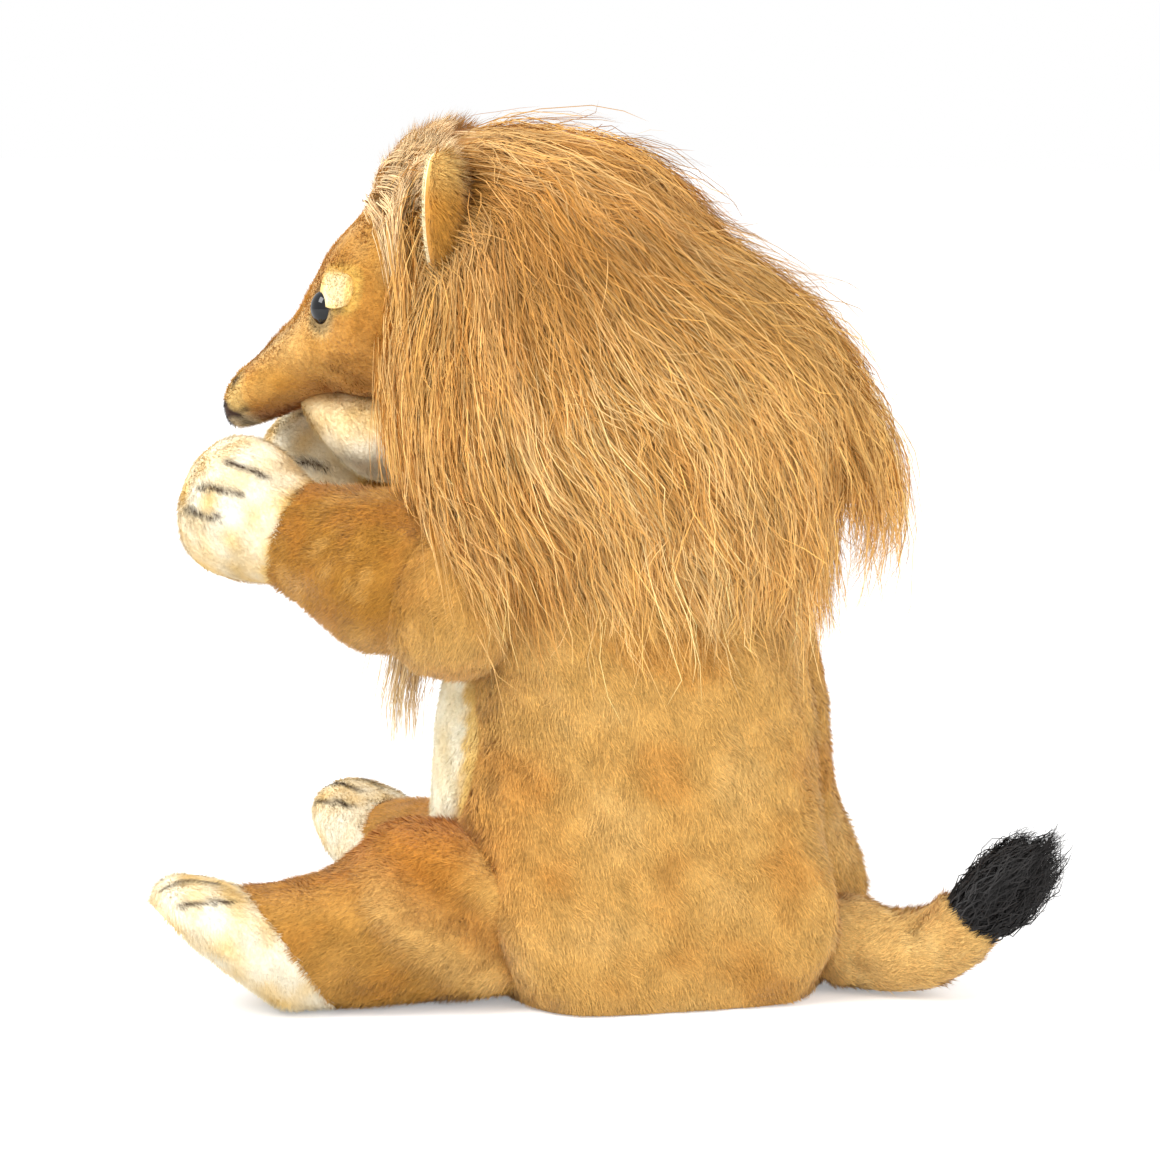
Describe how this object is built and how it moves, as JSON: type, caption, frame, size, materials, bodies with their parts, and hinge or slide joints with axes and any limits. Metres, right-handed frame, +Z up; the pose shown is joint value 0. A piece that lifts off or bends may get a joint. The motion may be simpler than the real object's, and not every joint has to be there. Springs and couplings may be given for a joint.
{
  "type": "hand puppet",
  "caption": "Plush lion glove puppet that sits upright: open sleeve below for the hand, turning head, shaggy mane, raised forepaws, splayed hind legs and a tufted tail.",
  "frame": {"origin": "middle of the footprint, on the surface the puppet sits on", "axes": "+Z up along the torso; the lion looks along -X; its left side is towards -Y"},
  "size_m": [0.2886, 0.2016, 0.277],
  "materials": {
    "plush_gold": "short mottled golden-tan plush pile with darker tips",
    "plush_cream": "short cream plush pile",
    "mane_fur": "long shaggy straw-gold pile",
    "tuft_fur": "long frizzy black pile",
    "lining_cloth": "thin woven tan lining cloth",
    "fibre_stuffing": "white polyester fibre filling",
    "eye_plastic": "polished near-black",
    "washer_plastic": "plain moulded",
    "nose_plush": "airbrushed short plush"
  },
  "bodies": {
    "root": {"belly_panel": "plush_cream", "body_sleeve_left": "plush_gold", "body_sleeve_right": "plush_gold", "chest_ruff": "mane_fur", "glove_lining": "lining_cloth", "hem_band": "lining_cloth", "mane_cape": "mane_fur"},
    "neck": {"neck_sleeve": "plush_gold"},
    "head": {"ear_left": "plush_gold", "ear_lining_left": "plush_cream", "ear_lining_right": "plush_cream", "ear_right": "plush_gold", "eye_left": "eye_plastic", "eye_right": "eye_plastic", "eye_washer_left": "washer_plastic", "eye_washer_right": "washer_plastic", "eyelid_left": "plush_cream", "eyelid_right": "plush_cream", "head_finger_pocket": "lining_cloth", "head_skin": "plush_gold", "head_stuffing": "fibre_stuffing", "jaw_panel": "plush_cream", "mane_crown": "mane_fur", "nose": "nose_plush"},
    "shoulder_left": {"shoulder_gusset_left": "plush_gold"},
    "shoulder_right": {"shoulder_gusset_right": "plush_gold"},
    "foreleg_left": {"foreleg_finger_pocket_left": "lining_cloth", "foreleg_padding_left": "fibre_stuffing", "foreleg_sleeve_left": "plush_gold", "forepaw_left": "plush_cream", "forepaw_stuffing_left": "fibre_stuffing"},
    "foreleg_right": {"foreleg_finger_pocket_right": "lining_cloth", "foreleg_padding_right": "fibre_stuffing", "foreleg_sleeve_right": "plush_gold", "forepaw_right": "plush_cream", "forepaw_stuffing_right": "fibre_stuffing"},
    "hindleg_left": {"hindleg_skin_left": "plush_gold", "hindleg_stuffing_left": "fibre_stuffing", "hindpaw_left": "plush_cream"},
    "hindleg_right": {"hindleg_skin_right": "plush_gold", "hindleg_stuffing_right": "fibre_stuffing", "hindpaw_right": "plush_cream"},
    "tail_root": {"tail_root": "plush_gold"},
    "tail": {"tail": "plush_gold", "tail_tuft": "tuft_fur"}
  },
  "joints": [
    {"name": "head_turn", "type": "hinge", "parent": "root", "child": "neck", "pos_m": [-0.04295, 0, 0.178], "axis": [0, 0, 1], "range_deg": [-22, 22], "deforming": ["mane_cape"]},
    {"name": "head_nod", "type": "hinge", "parent": "neck", "child": "head", "pos_m": [-0.04295, 0, 0.178], "axis": [0, 1, 0], "range_deg": [-3, 24], "deforming": ["mane_crown"]},
    {"name": "foreleg_raise_left", "type": "hinge", "parent": "root", "child": "shoulder_left", "pos_m": [-0.05095, -0.042, 0.128], "axis": [0, 1, 0], "range_deg": [-50, 3]},
    {"name": "foreleg_spread_left", "type": "hinge", "parent": "shoulder_left", "child": "foreleg_left", "pos_m": [-0.05095, -0.042, 0.128], "axis": [0, 0, 1], "range_deg": [-2, 30]},
    {"name": "foreleg_raise_right", "type": "hinge", "parent": "root", "child": "shoulder_right", "pos_m": [-0.05095, 0.042, 0.128], "axis": [0, 1, 0], "range_deg": [-50, 3]},
    {"name": "foreleg_spread_right", "type": "hinge", "parent": "shoulder_right", "child": "foreleg_right", "pos_m": [-0.05095, 0.042, 0.128], "axis": [0, 0, -1], "range_deg": [-2, 30]},
    {"name": "hindleg_swing_left", "type": "hinge", "parent": "root", "child": "hindleg_left", "pos_m": [-0.05495, -0.046, 0.03], "axis": [-0.4695, 0.8829, 0], "range_deg": [-40, 30]},
    {"name": "hindleg_swing_right", "type": "hinge", "parent": "root", "child": "hindleg_right", "pos_m": [-0.05495, 0.046, 0.03], "axis": [0.4695, 0.8829, 0], "range_deg": [-40, 30]},
    {"name": "tail_wag", "type": "hinge", "parent": "root", "child": "tail_root", "pos_m": [0.06805, 0, 0.016], "axis": [0, 0, 1], "range_deg": [-30, 30]},
    {"name": "tail_lift", "type": "hinge", "parent": "tail_root", "child": "tail", "pos_m": [0.06805, 0, 0.016], "axis": [0, -1, 0], "range_deg": [0, 35]}
  ]
}
